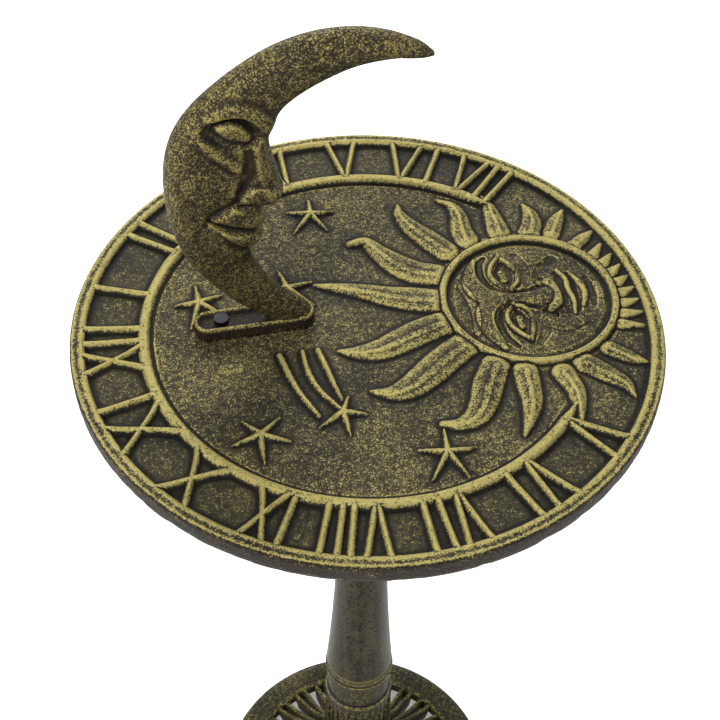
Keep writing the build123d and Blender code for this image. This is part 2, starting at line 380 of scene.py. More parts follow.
for side in (-1, 1):
    blade = np.zeros((len(section), len(sweep), 3))
    for place, (across, rise) in enumerate(section):
        blade[place, :, 0] = sweep[:, 0] + upright[:, 0] * rise
        blade[place, :, 1] = side * split + across * half_width
        blade[place, :, 2] = np.maximum(sweep[:, 1] + upright[:, 1] * rise, 0.4)
    ends = [np.repeat(blade[:, [end]].mean(0, keepdims=True), len(section), 0) for end in (0, -1)]
    petal.append(np.concatenate((ends[0], blade, ends[1]), 1))
ribs = []
for number in range(petal_count):
    angle = first_petal + 2 * math.pi * (number + 0.5) / petal_count
    turn = np.array((
        (math.cos(angle), math.sin(angle), 0), (-math.sin(angle), math.cos(angle), 0), (0, 0, 1)))
    for blade in petal:
        heart = (blade @ turn).mean(0, keepdims=True)
        ribs.append(lattice(
            "foot_rib", blade @ turn, (True, False), lambda grid: grid - heart,
            gains=(0.9, 0.3), spans=(1, 3)))
bpy.ops.object.select_all(action="DESELECT")
for rib in ribs:
    rib.select_set(True)
bpy.context.view_layer.objects.active = ribs[0]
bpy.ops.object.join()
foot_ribs = bpy.context.object
foot_ribs.name = "foot_ribs"

# the hub: lip, bead and the flutes that the ribs run out into
hub_profile = evenly([
    (11.3, 84), (13.8, 83), (waist - 0.6, 84), (waist, 88), (waist, bead_height - 2.2),
    (waist + 0.9, bead_height - 1.2), (waist + 1.3, bead_height), (waist + 0.9, bead_height + 1.2),
    (waist, bead_height + 2.2), (waist + 0.2, hub_top - 11), (waist + 0.9, hub_top - 7.5),
    (hub_radius - 0.2, hub_top - 5.8), (hub_radius, hub_top - 4.6), (hub_radius - 0.5, hub_top - 3.6),
    (hub_radius - 0.4, hub_top - 1.4), (hub_radius - 0.9, hub_top - 0.3), (17.3, hub_top),
    (socket_radius, hub_top), (socket_radius, hub_top - socket_depth),
    (rod_hole, hub_top - socket_depth), (rod_hole, hub_top - 20), (11.3, hub_top - 20)], 0.7)
hub_grid = turned(hub_profile, 288)
hub_angle = np.arctan2(hub_grid[..., 1], hub_grid[..., 0])
hub_level = hub_grid[..., 2]
hub_reach = np.hypot(hub_grid[..., 0], hub_grid[..., 1])
flute = np.clip((bead_height - 2 - hub_level) / 4, 0, 1) * np.clip((hub_reach - 14) / 1.5, 0, 1)
flute = flute * (0.5 * np.abs(np.cos(petal_count / 2 * (hub_angle - first_petal))) - 0.1)
hub_grid[..., :2] *= (1 + flute / np.maximum(hub_reach, 1))[..., None]
foot_hub = lattice("foot_hub", hub_grid, (True, True), from_axis, gains=(2.0, 0.6), spans=(2, 7))

base_finish = brushed_iron(
    "foot_patina", (0.008, 0.007, 0.004, 1), (0.03, 0.027, 0.012, 1), (0.22, 0.185, 0.062, 1),
    lift=-0.08, grain=1300, depth=0.0005)
for piece in (foot_ring, foot_ribs, foot_hub):
    piece.data.materials.append(base_finish)
    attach(piece, "stand")
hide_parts("base_casting")


# ---------------------------------------------------------------------------
# Column: a hollow iron casting, smooth under a satin grey-brown patina. Its
# flared foot stands on the hub's lip, and the dial turns on its upper end.
column_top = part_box("column")[1].z / MM
column_run = column_top - hub_top
column_foot = hub_top - socket_depth + 0.2
bore = 8.3
column_profile = np.vstack((
    evenly([(bore, column_top), (bore, column_foot), (12, column_foot), (12, hub_top + 0.1),
            (16.2, hub_top + 0.05), (17.0, hub_top + 0.5)], 4),
    curve([
        (17.2, hub_top + 1.4), (16.0, hub_top + 17), (14.9, hub_top + 34), (13.6, hub_top + 58),
        (12.3, hub_top + 88), (11.4, hub_top + 118), (11.0, hub_top + 165),
        (11.0, hub_top + column_run - 14), (11.2, column_top - 8)], 120),
    evenly([(12.3, column_top - 6), (12.5, column_top - 5), (12.5, column_top - 0.4), (12.1, column_top),
            (bore + 0.2, column_top)], 1)))
column_piece = lattice(
    "column_shell", turned(column_profile, 160), (True, True),
    lambda grid: (grid - 10.6 * grid / np.hypot(grid[..., :1], grid[..., 1:2])) * np.array((1, 1, 0)),
    gains=(0.8, 0.2), spans=(2, 6))

column_finish, shader, place = new_material("column_patina")
tree = place.tree
drawn = place.node("ShaderNodeMapping", Vector=place, Scale=(1, 1, 0.07))
streak = place.node("ShaderNodeTexNoise", Vector=drawn, Scale=230.0, Detail=3.0)
mottle = place.node("ShaderNodeTexNoise", Vector=place, Scale=170.0, Detail=4.0, Roughness=0.65)
pit = place.node("ShaderNodeTexNoise", Vector=place, Scale=620.0, Detail=2.0)
worn = place.node("ShaderNodeAttribute", (("attribute_name", "worn"),), output=2)
warm = (streak * 0.7 + mottle * 0.6).between(0.42, 0.86)
body = warm.blend((0.012, 0.0095, 0.005, 1), (0.05, 0.04, 0.02, 1))
shader.inputs["Specular IOR Level"].default_value = 0.06
speck = pit.between(0.56, 0.64)
body = speck.blend(body, (0.003, 0.0025, 0.002, 1))
body = worn.between(0.56, 0.8).blend(body, (0.12, 0.1, 0.045, 1))
tree.links.new(body.socket, shader.inputs["Base Color"])
tree.links.new((mottle * 0.3 + 0.2).socket, shader.inputs["Roughness"])
shader.inputs["Metallic"].default_value = 0.0
bump = place.node("ShaderNodeBump", Height=mottle + pit * 0.4, Strength=0.35, Distance=0.0004)
tree.links.new(bump.socket, shader.inputs["Normal"])
column_piece.data.materials.append(column_finish)
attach(column_piece, "stand")
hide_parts("column")


# ---------------------------------------------------------------------------
# Dial plate: one sand casting. Its upper face carries the hours in relief
# between the rim and a bead, and the sun's face, its rays and stars in the
# sunk field. Three surfaces meet along the bead and round the sun.
dial_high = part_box("dial_plate")[1]
rim = dial_high.z / MM
relief_height = 2.5
sunk = rim - relief_height
dial_radius = dial_high.x / MM
plate_underside = rim - 9.6
rim_inner = dial_radius - 5.8
bead_radius = 90.6
sun_x, sun_y = 68.6, 2.6
sun_radius = 37.4
sun_seam = sun_radius + 1.2

# each ridge runs through points of x, y and half width
flames = (
    ((-17, 27, 0.8), (-8, 23.5, 3.0), (2, 19.5, 4.4), (12, 14.5, 6.0), (22, 11, 6.9), (29, 9, 6.6)),
    ((2.5, 48.5, 2.0), (9, 48.6, 3.0), (13.5, 41, 4.6), (19, 33, 6.2), (26, 26.5, 6.8), (34, 23.5, 6.2)),
    ((28, 69, 0.8), (27.5, 62, 3.0), (31, 53, 4.8), (36, 45, 5.8), (41.5, 36.5, 5.8)),
    ((45.5, 69, 0.8), (51, 64, 2.6), (52.5, 57, 3.9), (51.5, 49, 4.9), (52, 42, 5.4)),
    ((65.5, 68, 0.8), (67, 60, 3.0), (67, 52, 4.3), (67, 44, 5.2)),
    ((82, 59, 0.8), (83.5, 52, 3.5), (82.5, 46, 4.6), (80, 41, 5.0)),
    ((98, 52, 1.0), (93.5, 46, 3.4), (89, 38.5, 4.0)),
    ((106.5, 36.5, 1), (101.5, 33, 3), (96.5, 29.5, 3.4)),
    ((94.5, -57, 0.8), (92.5, -50, 3.2), (87, -43.5, 4.6), (80.5, -36.5, 5.2)),
    ((105, -41, 0.8), (99, -37, 3.4), (92.5, -31, 4)),
    ((70, -66, 0.8), (71.5, -58, 2.8), (72.5, -50, 4), (70.5, -40, 5)),
    ((46.5, -68, 0.8), (51, -60, 3), (54, -52, 4.4), (55, -44, 5.2), (56, -36, 5.2)),
    ((17, -56.5, 1.6), (24, -58, 3.2), (31, -55, 5), (36, -48, 6), (39.5, -40.5, 6.4), (45, -31, 6)),
    ((-6.5, -35, 0.8), (2, -37.5, 3.8), (10, -35.5, 6), (19, -29.5, 7), (27, -23.5, 7), (35, -18.5, 6.6)),
    ((-14.5, -11.5, 0.8), (-7, -14, 3.6), (2, -14, 5.6), (12, -10.5, 6.6), (20, -7.5, 6.8), (29, -5, 6.6)))
# each star's middle, and the angle and length of its arms
star_arms = (
    ((15.7, -70.2), ((84, 11), (0, 11), (-69, 14), (-126, 15), (165, 11))),
    ((-52, -48.4), ((128, 10), (40, 11), (-27, 12), (-94, 14), (196, 12))),
    ((-19, -43.2), ((65, 8), (-18, 9), (-88, 12), (210, 12))),
    ((-28.6, 27.3), ((100, 11), (10, 11), (-52, 15), (172, 5))),
    ((-65.5, 26), ((92, 10), (15, 10), (-45, 13), (-110, 15), (180, 10))),
    ((-10.7, 70.7), ((85, 9), (-3, 10), (-66, 13), (-130, 14), (165, 10))))
tails = (
    ((-38, -9.5, 1.3), (-36.3, -20, 1.4), (-34, -30, 1.3), (-31, -38, 1.2), (-28.5, -44, 0.9)),
    ((-28.8, -9.5, 1.2), (-28.6, -20, 1.3), (-26.2, -30, 1.2), (-22, -38, 1.0), (-19, -43, 0.8)),
    ((-22.6, -9.5, 1.2), (-21, -20, 1.3), (-19.6, -30, 1.1), (-18.3, -37, 0.7)))
# the hours from V to VII: each letter, its angle about the axis and half its spread
letters = (
    ("V", -45, 5.8), ("V", -62, 5.2), ("I", -68.3, 0), ("V", -81.3, 4.5), ("I", -86, 0), ("I", -89.6, 0),
    ("V", -100.1, 4.6), ("I", -105.2, 0), ("I", -107.7, 0), ("I", -110.9, 0), ("I", -118.8, 0),
    ("X", -123.9, 4.6), ("X", -141.2, 7), ("X", -158.7, 7.4), ("I", -166.8, 0), ("X", 180.2, 5.2),
    ("I", 174.6, 0), ("I", 170.4, 0), ("I", 158.3, 0), ("I", 141.4, 0), ("I", 137.2, 0),
    ("I", 125.4, 0), ("I", 122, 0), ("I", 118.6, 0), ("I", 106.6, 0), ("V", 101.1, 5.6),
    ("V", 84.3, 6.2), ("V", 69.1, 6.6), ("I", 61.9, 0), ("V", 52.8, 5.8), ("I", 47.4, 0), ("I", 43.9, 0))
# the sun's face as ridges and grooves: points, height and shoulder
features = (
    (((62, 28, 0.9), (58, 23.5, 1.1), (55.8, 17.5, 1.2), (58, 11.4, 1.2), (62.5, 7.6, 0.9)), 1.4, 1.4),
    (((62.5, 7.6, 0.9), (66.2, 12, 1.1), (67, 17.5, 1.1), (65, 23.5, 1.1), (62, 28, 0.9)), 1.3, 1.4),
    (((62, 24, 1.4), (61.4, 17, 4.0), (62, 11, 1.4)), -1.0, 2.0),
    (((61.2, 18.8, 1.7), (61.3, 14.6, 1.8)), 1.3, 1.8),
    (((60.5, -1.2, 0.9), (57, -5.5, 1.1), (56.4, -11, 1.2), (58.8, -16, 1.1), (63, -21, 0.9)), 1.4, 1.4),
    (((60.5, -1.2, 0.9), (64.8, -3.4, 1.1), (66.5, -9, 1.1), (65.2, -15, 1.1), (63, -21, 0.9)), 1.3, 1.4),
    (((61.3, -4.6, 1.4), (61.4, -10.5, 3.8), (62.4, -17, 1.2)), -1.0, 2.0),
    (((61.4, -8.4, 1.7), (61.6, -12.6, 1.6)), 1.3, 1.8),
    (((56, 29, 1.2), (53, 25, 1.7), (52, 17, 2.0), (54.6, 10, 1.9), (60.6, 6.4, 1.5), (68, 6.2, 1.6),
      (74, 8, 1.4), (76.6, 12.6, 1.2)), -1.3, 2.0),
    (((75.4, 11, 3.2), (79.6, 17, 4.4), (84, 22, 3.0)), -0.9, 4.4),
    (((57, -23, 1.2), (53.6, -17, 1.7), (52.6, -9, 2.0), (55.2, -2.6, 1.7), (59.6, -0.4, 1.2)), -1.3, 2.0),
    (((66, -2.2, 1.0), (72, -4.6, 1.6), (76.4, -8.6, 2.0)), -1.0, 2.0),
    (((74, -7, 3.0), (78, -11, 4.0), (83, -16, 3.0)), -0.7, 4.0),
    (((69, 28, 2), (71, 19, 2.4), (69.5, 9, 1.6)), -0.7, 2.6),
    (((66, -23, 1.6), (70.4, -16, 2.4), (69.5, -7, 1.6)), -0.7, 2.6),
    (((82.6, 14, 1.2), (83.0, 3, 1.6), (82.2, -9, 1.2)), -0.6, 2.2),
    (((84.0, 15.5, 0.9), (86.2, 9.5, 1.3), (85.6, 3, 1.3), (86.2, -3, 1.3), (84.6, -10, 0.9)), 1.2, 1.5),
    (((88.0, 13.5, 0.9), (88.6, 3, 1.2), (87.4, -8, 0.9)), -0.8, 1.5),
    (((89.2, 12, 0.9), (91.6, 6.5, 1.5), (91.8, 0, 1.5), (89.6, -6, 0.9)), 1.2, 1.6),
    (((95, 10, 1.4), (95.6, 2, 1.9), (94, -6, 1.4)), -0.5, 2.4),
    (((98.6, 5, 2.0), (98.6, -1.5, 2.0)), 0.6, 2.4),
    (((70, 22, 3.4), (74, 25, 4.6), (83, 25, 3)), 0.5, 4.6),
    (((73, -12.5, 3), (79, -15, 4.0), (86, -14, 2.6)), 0.8, 4.0),
    (((42.4, 14, 1.4), (44.4, 5, 1.8), (44.4, -4, 1.8), (42.6, -13, 1.4)), 0.6, 1.8))
# the brows run together into the nose, which spreads to its wings
brows = (
    (((51.5, 28, 1.2), (48.2, 20, 3.2), (48.0, 12, 5.0), (51, 6.4, 5.0), (57, 4.6, 3.0), (63, 3.2, 2.6),
      (69, 1.8, 3.4), (75, 1.4, 4.4), (78, 2.4, 4.6)), 1.5, 5.0),
    (((51.6, -23, 1.2), (48.8, -15, 3.2), (48.4, -7, 4.8), (51, -0.4, 4.6), (57, 2.8, 2.6)), 1.3, 5.0),
    (((75.0, 10.2, 1.4), (78.4, 8.6, 2.2), (80.2, 2.4, 2.2), (78.8, -3.6, 2.2), (75.6, -5.6, 1.4)), 2.0, 2.0))


def ridge(x, y, line, height, shoulder):
    """Height of a rounded ridge, or depth of a groove, along a curve of x, y and half width."""
    result = np.zeros_like(x)
    line = curve(line, 6 * len(line) - 5) if len(line) > 2 else line
    for (ax, ay, aw), (bx, by, bw) in zip(line, line[1:]):
        margin = max(aw, bw)
        near = (
            (x > min(ax, bx) - margin) & (x < max(ax, bx) + margin)
            & (y > min(ay, by) - margin) & (y < max(ay, by) + margin))
        px, py = x[near], y[near]
        run_x, run_y = bx - ax, by - ay
        share = np.clip(((px - ax) * run_x + (py - ay) * run_y) / (run_x ** 2 + run_y ** 2 + 1e-9), 0, 1)
        inside = aw + (bw - aw) * share - np.hypot(px - ax - share * run_x, py - ay - share * run_y)
        lift = np.clip(inside / shoulder, 0, 1)
        result[near] = np.maximum(result[near], np.sqrt(lift * (2 - lift)))
    return result * height


def band(distance, half, height, shoulder):
    """Height of a rounded band at a distance from its middle line."""
    lift = np.clip((half - np.abs(distance)) / shoulder, 0, 1)
    return height * np.sqrt(lift * (2 - lift))


def letter_lines(letter, angle, spread):
    """The strokes of one letter of an hour, as ridges from the bead to the rim."""
    inner, outer = bead_radius + 1.4, rim_inner + 0.6
    turn = math.radians(angle)
    radial = np.array((math.cos(turn), math.sin(turn)))
    sideways = np.array((math.sin(turn), -math.cos(turn)))
    if letter == "I":
        shapes = [((0, 0, 1.75), (0.2, 0, 1.55), (0.8, 0, 1.55), (1, 0, 1.9))]
    elif letter == "V":
        shapes = [
            ((0, side * 0.6, 1.5), (0.8, side * (0.8 * spread), 1.4), (1, side * spread, 1.8))
            for side in (-1, 1)]
    else:
        shapes = [
            ((0, -side * 1.1 * spread, 1.7), (0.2, -side * 0.62 * spread, 1.4), (0.5, 0, 1.4),
             (0.8, side * 0.6 * spread, 1.4), (1, side * spread, 1.7)) for side in (-1, 1)]
    lines = []
    for shape in shapes:
        line = []
        for share, side, half in shape:
            point = radial * (inner + (outer - inner) * share) + sideways * side
            line.append((point[0], point[1], half))
        lines.append(line)
    return lines


def relief(x, y):
    """Height of the plate's upper face above its sunk field."""
    reach = np.hypot(x, y)
    angle = np.degrees(np.arctan2(y, x)) % 360
    height = np.zeros_like(x)
    # bead, open round the sun, with its ends drawn to points
    end = np.minimum(np.clip((angle - 39) / 9, 0, 1), np.clip((324 - angle) / 9, 0, 1))
    height = np.maximum(height, band(reach - bead_radius, 2.4 * end, 2.2, 1.6) * (end > 0))
    for letter, around, spread in letters:
        for line in letter_lines(letter, around, spread):
            height = np.maximum(height, ridge(x, y, line, 2.25, 1.4))
    for line in flames:
        crest = [(px, py - 1.2, 0.25 * width) for px, py, width in line]
        flame = ridge(x, y, line, 1.9, 5.2) + ridge(x, y, crest, 0.3, 2.6)
        height = np.maximum(height, flame)
    # short flames between the sun and the rim
    for degrees in range(-33, 32, 9):
        turn = math.radians(degrees)
        gap = rim_inner - math.hypot(
            sun_x + (sun_radius + 1.5) * math.cos(turn), sun_y + (sun_radius + 1.5) * math.sin(turn))
        tip = sun_radius + 1.5 + max(gap * 0.8, 4.5)
        line = (
            (sun_x + (sun_radius + 2) * math.cos(turn), sun_y + (sun_radius + 2) * math.sin(turn), 2.9),
            (sun_x + tip * math.cos(turn + 0.05), sun_y + tip * math.sin(turn + 0.05), 1.1))
        height = np.maximum(height, ridge(x, y, line, 1.6, 2.6))
    for (cx, cy), arms in star_arms:
        for degrees, length in arms:
            turn = math.radians(degrees)
            line = ((cx, cy, 1.7), (cx + length * math.cos(turn), cy + length * math.sin(turn), 0.4))
            height = np.maximum(height, ridge(x, y, line, 1.8, 1.6))
    for line in tails:
        height = np.maximum(height, ridge(x, y, line, 1.9, 1.6))
    height = np.maximum(height, ridge(x, y, ((-61, -12.5, 2.6), (-55.5, -12.5, 2.8)), 0.22, 2.8))
    # the sun's ring and face
    from_sun = np.hypot(x - sun_x, y - sun_y)
    dome = 0.5 + 1.0 * np.clip(1 - (from_sun / 31.5) ** 2, 0, 1)
    face = dome * np.clip((32.6 - from_sun) / 1.6, 0, 1)
    for line, lift, shoulder in features:
        face = face + ridge(x, y, line, lift, shoulder)
    face = face + np.maximum.reduce([ridge(x, y, line, lift, shoulder) for line, lift, shoulder in brows])
    height = np.where(from_sun < sun_radius - 3.2, face, height)
    height = np.maximum(height, band(from_sun - sun_radius + 1.7, 1.7, 2.3, 1.2))
    # a blowhole beside a star
    height -= 1.8 * np.clip(1 - np.hypot(x + 29.2, (y - 21.5) * 0.7) / 1.9, 0, 1)
    return height


def rim_profile(reach):
    """Height of the rim's top across its width, with a shallow channel between two edges."""
    across = (reach - rim_inner) / (dial_radius - rim_inner)
    return np.interp(
        across, (-0.12, 0.02, 0.2, 0.34, 0.55, 0.74, 0.86, 0.95, 1.0),
        (0, 1.8, 2.42, 2.38, 2.2, 2.28, 2.48, 2.3, 1.5))


def rough(x, y, z, seed):
    """A slow seeded unevenness of a casting."""
    flat = [noise.noise(Vector((a + seed, b, c))) for a, b, c in zip(x.ravel(), y.ravel(), z.ravel())]
    return np.array(flat).reshape(x.shape)


# hour band: from just inside the bead out over the rim and down its edge
band_turns = 1344
band_inner = 86.6
top_rows = 55
edge_rows = 8
band_reach = np.linspace(band_inner, dial_radius - 0.9, top_rows)
turn = np.linspace(0, 2 * math.pi, band_turns, endpoint=False)[:, None]
band_x = band_reach[None, :] * np.cos(turn)
band_y = band_reach[None, :] * np.sin(turn)
band_height = np.maximum(relief(band_x, band_y), rim_profile(band_reach)[None, :])
edge = np.array([
    (dial_radius - 0.45, sunk + 1.95), (dial_radius - 0.12, sunk + 1.3), (dial_radius, sunk + 0.4),
    (dial_radius, sunk - 1.2), (dial_radius - 0.05, sunk - 3.0), (dial_radius - 0.15, sunk - 4.8),
    (dial_radius - 0.5, plate_underside + 0.8), (dial_radius - 1.3, plate_underside + 0.1),
    (dial_radius - 4, plate_underside), (band_inner, plate_underside)])
band_grid = np.concatenate((
    np.stack((band_x, band_y, sunk + band_height), -1), turned(edge, band_turns)), 1)
side = slice(top_rows, top_rows + edge_rows)
chip = rough(
    band_grid[:, side, 0] * 0.16, band_grid[:, side, 1] * 0.16, band_grid[:, side, 2] * 0.35, seed=3.7)
low_edge = np.linspace(0.15, 1.0, edge_rows)[None, :] ** 2
band_grid[:, side, :2] *= (1 - np.clip(chip + 0.12, 0, 1) * low_edge * 0.5 / dial_radius)[..., None]
band_grid[:, side, 2] += np.clip(chip + 0.1, 0, 1) * low_edge * 0.4
band_grid[:, 0, 2] -= 0.06

# the panels between the hours and the plate's edge hold no gold; under the sun the band sinks
from_sun = np.hypot(band_grid[..., 0] - sun_x, band_grid[..., 1] - sun_y)
above = band_grid[..., 2] > sunk - 0.5
panel = (
    np.clip(1 - np.abs(soften(band_grid[..., 2], 2, (True, False)) - sunk) / 0.3, 0, 1)
    * (np.hypot(band_grid[..., 0], band_grid[..., 1]) > 92.5)
    * ((turn % (2 * math.pi) > 0.78) & (turn % (2 * math.pi) < 5.55)))
panel[:, top_rows:] = 7.5
band_grid[..., 2] -= 0.9 * np.clip((sun_seam - from_sun) / 0.4, 0, 1) * above
hour_band = lattice(
    "dial_hour_band", band_grid, (True, True),
    lambda grid: np.stack((grid[..., 0] * 0.002, grid[..., 1] * 0.002, np.where(above, 1.0, -0.2)), -1),
    extra={"bare_and_shade": panel}, upper=top_rows + edge_rows - 1)

# field: the sunk middle of the plate
step = 0.6
line_up = np.arange(-88.2, 88.2 + step, step)
field_x, field_y = np.meshgrid(line_up, line_up, indexing="ij")
field_height = relief(field_x, field_y) - 0.5 * np.clip((np.hypot(field_x, field_y) - 86.7) / 0.6, 0, 1)
field_height -= 0.9 * np.clip((sun_seam - np.hypot(field_x - sun_x, field_y - sun_y)) / 0.4, 0, 1)
sky_field = lattice(
    "dial_field", np.stack((field_x, field_y, sunk + field_height), -1), (False, False),
    lambda grid: grid * 0 + np.array((0, 0, 1)), keep=np.hypot(field_x, field_y) < 87.9,
    extra={"bare_and_shade": np.zeros_like(field_x)})
bpy.ops.object.mode_set(mode="EDIT")
bpy.ops.mesh.select_all(action="DESELECT")
bpy.ops.mesh.select_non_manifold()
bpy.ops.mesh.extrude_region_move(TRANSFORM_OT_translate={"value": (0, 0, -3 * MM)})
bpy.ops.mesh.edge_face_add()
bpy.ops.object.mode_set(mode="OBJECT")

# sun: ring and face, sunk at its edge below the field that it stands in
sun_reach = np.append(np.linspace(0, 39.3, 112), (39.3, 0))
turn = np.linspace(0, 2 * math.pi, 720, endpoint=False)[:, None]
disc_x = sun_x + sun_reach[None, :] * np.cos(turn)
disc_y = sun_y + sun_reach[None, :] * np.sin(turn)
disc_height = relief(disc_x, disc_y) - 0.5 * np.clip((sun_reach[None, :] - 38.3) / 1.0, 0, 1)
disc_height[:, -2:] = -3
sun_piece = lattice(
    "dial_sun", np.stack((disc_x, disc_y, sunk + disc_height), -1), (True, False),
    lambda grid: np.where(disc_height > -2, 1.0, -1.0)[..., None] * np.array((0, 0, 1)),
    gains=(2.6, 0.8), spans=(3, 14), upper=-2,
    extra={"bare_and_shade": np.zeros_like(disc_x)})

# underside with the boss and spigot that turn on the column
spigot_radius, boss_radius = 8.2, 19
under = [
    (0, 3), (0, 0), (4.1, 0), (4.1, -16), (spigot_radius, -16), (spigot_radius, -8), (boss_radius - 0.8, -8),
    (boss_radius, -7.2), (boss_radius, -1), (boss_radius + 2, 0), (88.4, 0), (88.4, 3), (0, 3)]
under = evenly([(radius, plate_underside + level) for radius, level in under], 2)
under_piece = lattice(
    "dial_underside", turned(under, 180), (True, False),
    lambda grid: np.where(grid[..., 2] < plate_underside + 1, -1.0, 1.0)[..., None] * np.array((0, 0, 1)),
    gains=(0.4, 0.1), spans=(1, 3), extra={"bare_and_shade": np.full((180, len(under)), 0.4)})

dial_finish = brushed_iron(
    "dial_patina", (0.010, 0.0085, 0.0055, 1), (0.042, 0.036, 0.017, 1), (0.34, 0.29, 0.1, 1),
    lift=0.0, grain=1500, depth=0.0006, panels_and_shade=True)
for piece in (hour_band, sky_field, sun_piece, under_piece):
    piece.data.materials.append(dial_finish)
    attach(piece, "dial")
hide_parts("dial_plate")


# ---------------------------------------------------------------------------
# Gnomon: a crescent moon with a face in profile, cast in one piece with the
# long round-ended foot that is screwed to the plate from below.
gnomon_middle = sum(corner.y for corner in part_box("gnomon")) / 2 / MM
# matching points of the moon's back and front with its half thickness
moon = (
    ((23.3, 122.6), (22.9, 121.4), 1.6), ((20, 125.9), (19.8, 121.1), 3.0), ((16, 128.6), (15.6, 121.6), 4.2),
    ((6.5, 132.9), (8, 122.6), 5.4), ((-6, 135.9), (-4, 121.4), 6.2), ((-20, 135.6), (-14.5, 117.7), 6.7),
    ((-34.3, 131.4), (-23, 113.4), 7.0), ((-47, 124.2), (-29, 109), 7.0), ((-58, 115.6), (-32.3, 105), 7.0),
    ((-65.5, 108), (-34.2, 99.6), 7.0), ((-71, 99.6), (-36.4, 94), 7.0), ((-74.3, 90), (-35.2, 85.5), 7.0),
    ((-75.6, 80.4), (-33.2, 77), 7.0), ((-75.9, 73), (-31.7, 70.8), 7.0), ((-75.8, 68.5), (-33, 66.6), 7.0),
    ((-75.7, 66), (-37, 64.6), 7.0), ((-75.5, 63.6), (-41.5, 63.7), 7.0), ((-75.1, 59.6), (-38.3, 58.4), 7.0),
    ((-74.6, 56.6), (-41.4, 53.4), 7.0), ((-73.9, 53.2), (-40.3, 49.4), 7.0),
    ((-72.8, 48.8), (-45.2, 43.8), 6.8),
    ((-69.3, 38.5), (-44, 35.6), 6.4), ((-61, 25.2), (-39.2, 24.6), 6.0), ((-52.6, 14.8), (-33.1, 15.8), 5.8),
    ((-45.4, 8.0), (-26, 9), 5.6), ((-40.4, 3.2), (-22, 4), 5.6), ((-38.5, 0.5), (-20.8, 0.5), 5.5))
moon_rows = 430
back = curve([point[0] for point in moon], moon_rows)
front = curve([point[1] for point in moon], moon_rows)
thick = curve([(point[2], 0) for point in moon], moon_rows)[:, 0]
share = (1 - np.cos(math.pi * np.linspace(0, 1, 98))) / 2
span = np.linalg.norm(front - back, axis=1)[:, None]
flat = back[:, None, :] + (front - back)[:, None, :] * share[None, :, None]
corner = np.minimum(8.5, span * 0.5)
from_edge = np.minimum(share, 1 - share)[None, :] * span
swell = np.clip(from_edge / corner, 0, 1)
swell = np.sqrt(swell * (2 - swell))
# the face, the same on both sides: points, height and shoulder
profile = (
    (((-56.5, 103, 5), (-49, 102, 7.5), (-43.6, 98.5, 4.5)), -1.8, 6),
    (((-54.6, 104.4, 2.0), (-50.2, 102.4, 3.8), (-45.8, 99.6, 2.6)), 2.5, 3.8),
    (((-57.4, 104.6, 0.8), (-54, 107.6, 1.5), (-50, 107.8, 1.6), (-46, 105.6, 1.6), (-42.6, 100.8, 1.2)),
     -1.2, 1.8),
    (((-57, 102, 0.9), (-53.4, 98.6, 1.6), (-48, 95.6, 1.7), (-44, 94.8, 1.2)), 0.9, 2.0),
    (((-58.6, 109.4, 1.6), (-52, 111.4, 3.0), (-46.6, 111.6, 3.4), (-42.4, 109.6, 3.4), (-38.8, 105.6, 3.0),
      (-36.8, 101.4, 2.2)), 1.6, 3.2),
    (((-61.4, 99.4, 1.2), (-59, 96.4, 2.0), (-54.6, 91.6, 2.6), (-49.2, 86, 2.2)), 1.0, 2.6),
    (((-57.5, 91.0, 0.9), (-53.6, 87.4, 1.6), (-48.8, 82, 1.6)), -0.5, 2.0),
    (((-45.4, 95.4, 1.8), (-44.6, 89, 2.6), (-45.6, 81, 3.0), (-48.4, 75.5, 2.4)), -1.3, 3.0),
    (((-40.6, 96, 2.4), (-39.8, 87, 2.8), (-38.2, 79.6, 3.4), (-36, 73, 3.8)), 1.0, 3.2),
    (((-46.6, 71.6, 2.4), (-43.2, 72.8, 3.8), (-38.2, 71.4, 4.2), (-34.6, 70.2, 3.2)), 1.8, 3.4),
    (((-49.4, 67.8, 1.2), (-44, 66.0, 2.2), (-38, 65.4, 1.8)), -1.5, 2.2),
    (((-49, 74.4, 1.2), (-51, 70.6, 2.0), (-55.4, 67.4, 2.2), (-59.8, 64.2, 2.0), (-62.4, 60.2, 1.2)),
     -1.0, 2.6),
    (((-63, 80, 7), (-58, 76, 8), (-54, 76, 6)), 1.0, 8),
    (((-58.8, 63.2, 1.3), (-53, 63.8, 3.6), (-47, 62.4, 4.6), (-42, 60, 4.2), (-39.4, 58.6, 3.0)), 1.6, 4.0),
    (((-60.6, 62.2, 0.8), (-56.4, 59.2, 1.3), (-51.6, 56.6, 1.6), (-46, 55.0, 1.7), (-42, 54.2, 1.7),
      (-39.4, 53.4, 1.5)), -2.0, 1.7),
    (((-55.6, 56, 1.2), (-50.8, 52.8, 2.6), (-45.6, 50.2, 3.2), (-41.2, 49.8, 3.2)), 1.6, 3.2),
    (((-54, 49.6, 1.2), (-48.4, 45.6, 2.0), (-44.6, 44.8, 1.4)), -0.8, 2.2))
push = np.zeros(flat.shape[:2])
for line, lift, shoulder in profile:
    push += ridge(flat[..., 0], flat[..., 1], line, lift, shoulder)
push = soften(push, 2, (False, False))
side = thick[:, None] * swell + push * np.clip(from_edge / 2.2, 0, 1)
near = np.stack((flat[..., 0], gnomon_middle - side, rim + flat[..., 1]), -1)
far = np.stack((flat[..., 0], gnomon_middle + side, rim + flat[..., 1]), -1)[:, -2:0:-1]
moon_grid = np.concatenate((near, far), 1)
tip = np.repeat(moon_grid[:1].mean(1, keepdims=True), moon_grid.shape[1], 1)
tip[..., 0] += 0.5
heel = np.repeat(moon_grid[-1:].mean(1, keepdims=True), moon_grid.shape[1], 1)
moon_grid = np.concatenate((tip, moon_grid, heel), 0)
heart = np.stack((flat.mean(1)[:, 0], np.full(moon_rows, gnomon_middle), rim + flat.mean(1)[:, 1]), -1)
heart = np.concatenate((heart[:1], heart, heart[-1:]))[:, None, :]
